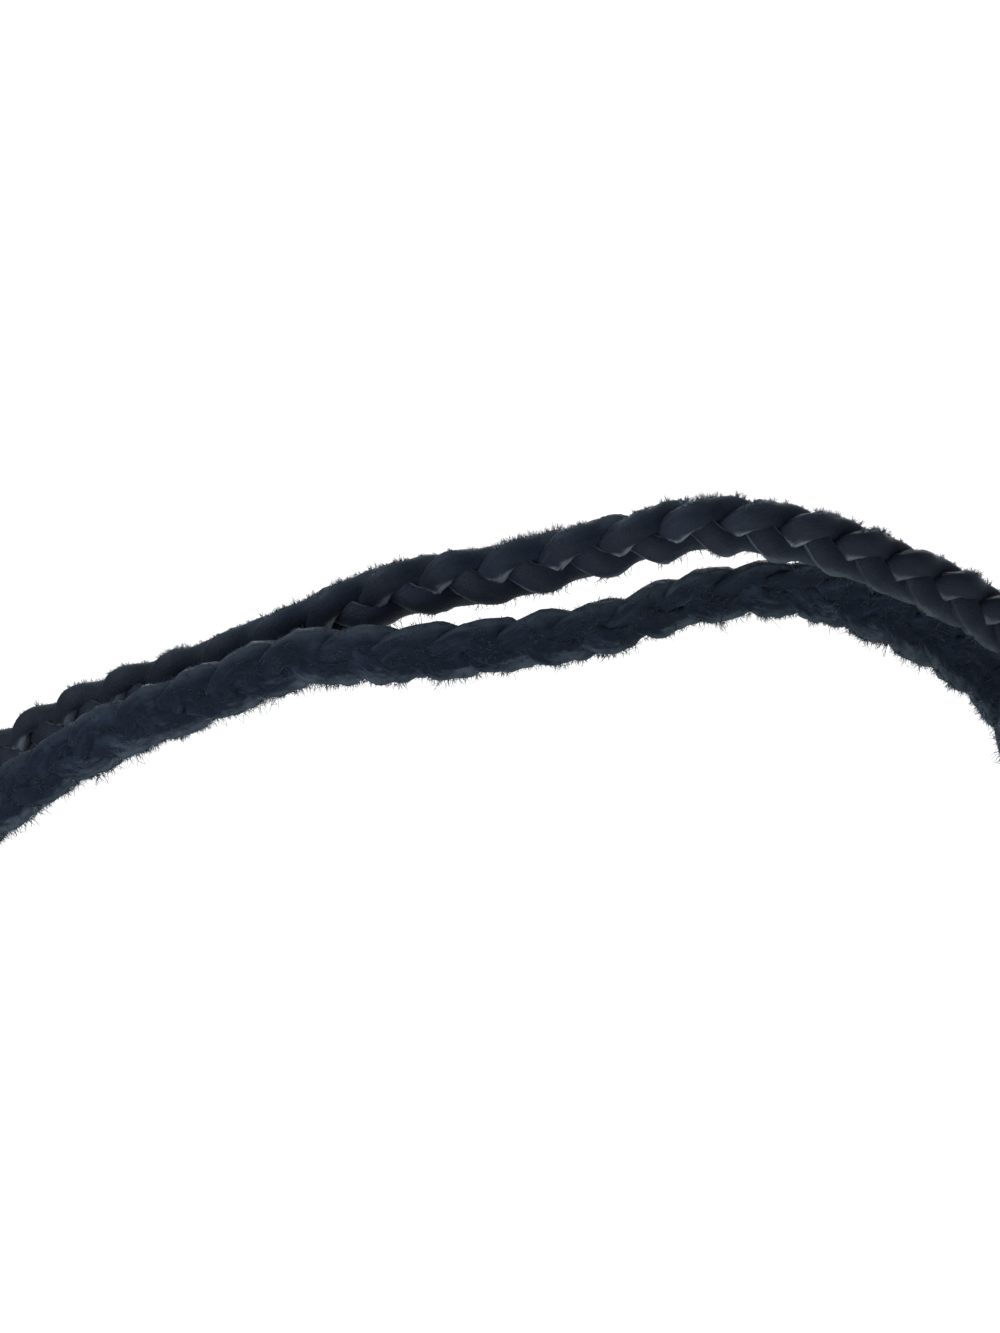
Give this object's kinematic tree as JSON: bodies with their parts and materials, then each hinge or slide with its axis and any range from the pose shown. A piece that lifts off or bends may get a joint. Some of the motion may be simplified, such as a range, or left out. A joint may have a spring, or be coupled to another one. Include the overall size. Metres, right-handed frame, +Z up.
{
  "type": "braided leather necklace",
  "caption": "Necklace of flat braided leather strands lying side by side in one closed loop, joined by a plain flat metal sleeve clasp.",
  "frame": {"origin": "the point of the nape that the loop hangs on, midway between the two strands", "axes": "+Z up, +Y towards the wearer's front, +X to the right as seen from behind; the clasp is at the low front"},
  "size_m": [0.1519, 0.118, 0.1384],
  "materials": {
    "leather_outer": "smooth grain, blue-black, soft sheen, raw cut edges",
    "leather_inner": "rough flesh side with loose fibres, smooth grain on the back",
    "metal": "brushed lengthwise, rounded corners"
  },
  "bodies": {
    "root": {"outer_strand": "leather_outer", "inner_strand": "leather_inner", "clasp": "metal"}
  },
  "joints": []
}
